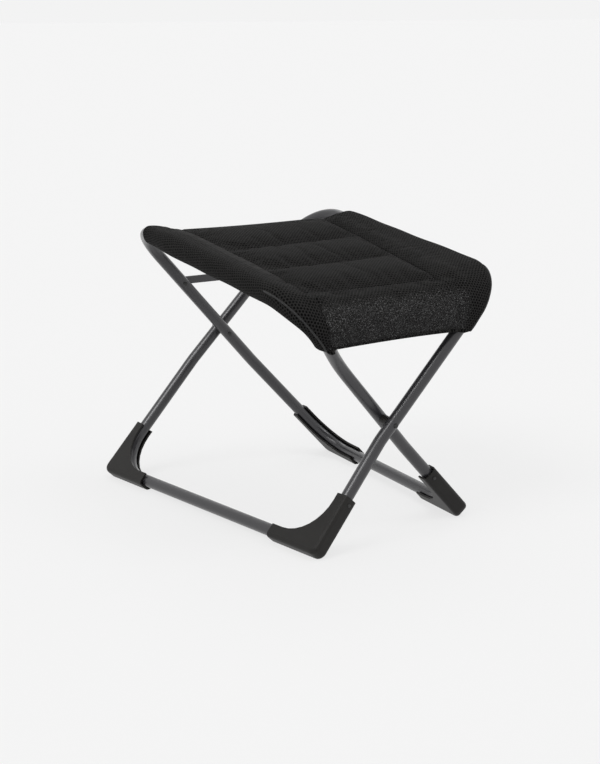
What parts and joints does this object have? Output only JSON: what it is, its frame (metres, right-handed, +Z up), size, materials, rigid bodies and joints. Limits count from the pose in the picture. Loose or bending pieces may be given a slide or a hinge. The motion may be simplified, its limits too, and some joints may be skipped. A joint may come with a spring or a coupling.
{
  "type": "camp stool",
  "caption": "Folding camp stool: two crossed round-tube loops on corner foot caps, a padded fabric seat slung between their top bars, and a folding brace at the rear.",
  "frame": {"origin": "on the floor, at the centre of the open stool's footprint box", "axes": "+Z up, -Y towards the seat's rolled front edge, -X towards the top bar of the inner loop"},
  "size_m": [0.425, 0.5586, 0.4398],
  "materials": {
    "frame_paint": "semi-gloss anthracite powder coat",
    "cap_plastic": "matte moulded, fine grain",
    "fastener_black": "black zinc",
    "link_steel": "semi-gloss anthracite powder coat",
    "ribbed_cloth": "black woven cloth, fine diagonal ribs, padded",
    "air_mesh": "black spacer mesh with small honeycomb holes",
    "backing_cloth": "plain black woven cloth"
  },
  "bodies": {
    "inner_frame": {"brace_bolt_inner": "fastener_black", "cap_rivet_inner_front": "fastener_black", "cap_rivet_inner_rear": "fastener_black", "foot_cap_inner_front": "cap_plastic", "foot_cap_inner_rear": "cap_plastic", "inner_frame_spigot": "frame_paint", "inner_frame_tube": "frame_paint", "pivot_bolt_front": "fastener_black", "pivot_bolt_rear": "fastener_black", "pivot_nut_front": "fastener_black", "pivot_nut_rear": "fastener_black", "pivot_saddle_inner_front": "cap_plastic", "pivot_saddle_inner_rear": "cap_plastic", "seat_backing": "backing_cloth", "seat_bolster_left": "air_mesh", "seat_bolster_right": "air_mesh", "seat_channel_front": "ribbed_cloth", "seat_channel_middle": "ribbed_cloth", "seat_channel_rear": "ribbed_cloth", "seat_front_roll": "ribbed_cloth", "seat_sleeve_left": "air_mesh"},
    "outer_frame": {"brace_bolt_outer": "fastener_black", "cap_rivet_outer_front": "fastener_black", "cap_rivet_outer_rear": "fastener_black", "foot_cap_outer_front": "cap_plastic", "foot_cap_outer_rear": "cap_plastic", "outer_frame_spigot": "frame_paint", "outer_frame_tube": "frame_paint", "pivot_saddle_outer_front": "cap_plastic", "pivot_saddle_outer_rear": "cap_plastic", "seat_sleeve_right": "air_mesh"},
    "brace_inner": {"brace_link_inner": "link_steel", "brace_middle_rivet_inner": "fastener_black"},
    "brace_outer": {"brace_link_outer": "link_steel", "brace_middle_rivet_outer": "fastener_black"}
  },
  "joints": [
    {"name": "fold", "type": "hinge", "parent": "inner_frame", "child": "outer_frame", "pos_m": [0.0034, 0.0076, 0.2055], "axis": [0, -0.9931, -0.1175], "range_deg": [0, 73], "deforming": ["seat_backing", "seat_bolster_left", "seat_bolster_right", "seat_channel_front", "seat_channel_middle", "seat_channel_rear", "seat_front_roll"]},
    {"name": "brace_inner_fold", "type": "hinge", "parent": "inner_frame", "child": "brace_inner", "pos_m": [-0.08264, 0.23834, 0.32769], "axis": [0, -0.9931, -0.1175], "range_deg": [-45, 0]},
    {"name": "brace_outer_fold", "type": "hinge", "parent": "outer_frame", "child": "brace_outer", "pos_m": [0.08944, 0.23864, 0.32773], "axis": [0, -0.9931, -0.1175], "range_deg": [0, 45]}
  ],
  "couplings": [
    {"joint": "brace_inner_fold", "follows": "fold", "ratio": -0.6128},
    {"joint": "brace_outer_fold", "follows": "fold", "ratio": 0.6128}
  ]
}
